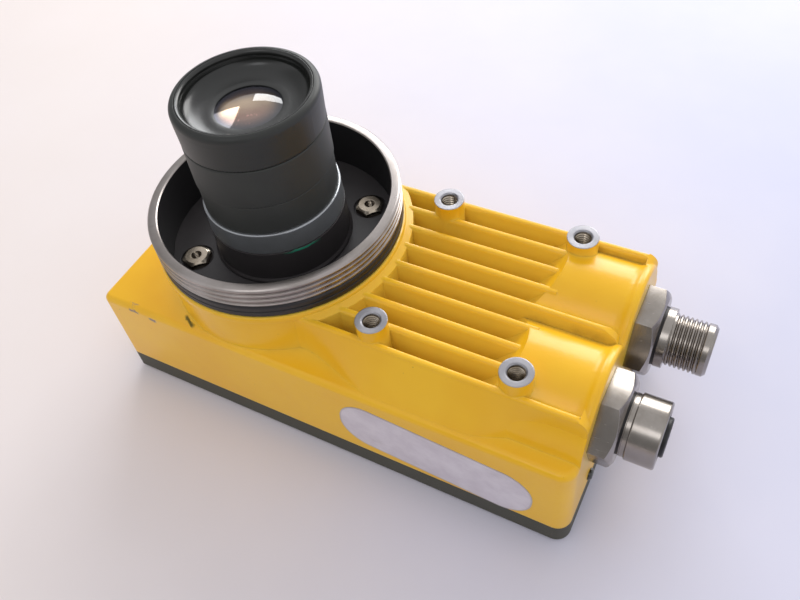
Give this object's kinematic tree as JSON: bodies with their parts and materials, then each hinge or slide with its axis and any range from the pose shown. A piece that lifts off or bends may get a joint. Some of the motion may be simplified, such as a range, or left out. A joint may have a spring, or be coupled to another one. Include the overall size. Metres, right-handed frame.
{
  "type": "machine vision camera",
  "caption": "Industrial smart camera with finned cast housing, manual lens in an open well under a threaded cover ring, four tapped bosses and two round M12 connectors",
  "frame": {"origin": "where the lens axis meets the rear face of the back cover, at the centre of that face across the body's width", "axes": "+Z is the way the camera looks, out of the lens; +X runs along the body to the connector end; +Y completes a right-handed frame"},
  "size_m": [0.1407, 0.0616, 0.082],
  "materials": {
    "yellow_paint": "smooth satin enamel on a casting",
    "cover_black": "satin black paint",
    "rubber_black": "matt black rubber",
    "screw_steel": "plain steel",
    "ring_aluminium": "turned, bare",
    "plate_black": "black anodised",
    "nickel": "nickel plated brass",
    "filter_glass": "coated flat glass",
    "lens_silver": "fine turned, clear anodised",
    "lens_black": "black anodised, satin",
    "lens_glass": "polished and coated",
    "insert_black": "moulded",
    "contact_gold": "gold plated",
    "board_green": "solder mask",
    "indicator_dark": "clear dark moulding",
    "chip_black": "moulded package",
    "sensor_dark": "sensor package",
    "paper": "matt paper"
  },
  "bodies": {
    "camera": {"main_housing": "yellow_paint", "back_cover": "cover_black", "cover_gasket": "rubber_black", "cover_screws": "screw_steel", "cover_ring": "ring_aluminium", "ring_seal": "rubber_black", "lens_plate": "plate_black", "hex_standoffs": "nickel", "filter_glass": "filter_glass", "lens_base": "lens_silver", "lens_barrel": "lens_black", "power_shell": "nickel", "power_seal": "rubber_black", "power_insert": "insert_black", "power_pins": "contact_gold", "power_board": "board_green", "network_shell": "nickel", "network_seal": "rubber_black", "network_insert": "insert_black", "network_contacts": "contact_gold", "network_board": "board_green", "connector_headers": "insert_black", "indicator_lenses": "indicator_dark", "processor_board": "board_green", "processor_chips": "chip_black", "io_board": "board_green", "board_headers": "insert_black", "board_spacers": "screw_steel", "board_screws": "screw_steel", "sensor_board": "board_green", "image_sensor": "sensor_dark", "sensor_spacers": "screw_steel", "sensor_screws": "screw_steel", "paper_label": "paper"},
    "iris_ring": {"iris_ring": "lens_black"},
    "focus_ring": {"focus_ring": "lens_black"},
    "lens_cell": {"lens_cell": "lens_black", "front_retainer": "lens_black", "front_glass": "lens_glass", "middle_glasses": "lens_glass", "rear_glass": "lens_glass", "iris_diaphragm": "lens_black"}
  },
  "joints": [
    {"name": "focus_turn", "type": "hinge", "parent": "camera", "child": "focus_ring", "pos_m": [0, 0, 0.078], "axis": [0, 0, 1], "range_deg": [0, 200]},
    {"name": "focus_slide", "type": "slide", "parent": "camera", "child": "lens_cell", "axis": [0, 0, 1], "range_m": [0, 0.0025]},
    {"name": "iris_turn", "type": "hinge", "parent": "camera", "child": "iris_ring", "pos_m": [0, 0, 0.0587], "axis": [0, 0, 1], "range_deg": [0, 80]}
  ],
  "couplings": [
    {"joint": "focus_turn", "follows": "focus_slide", "rad_per_m": 1396}
  ]
}
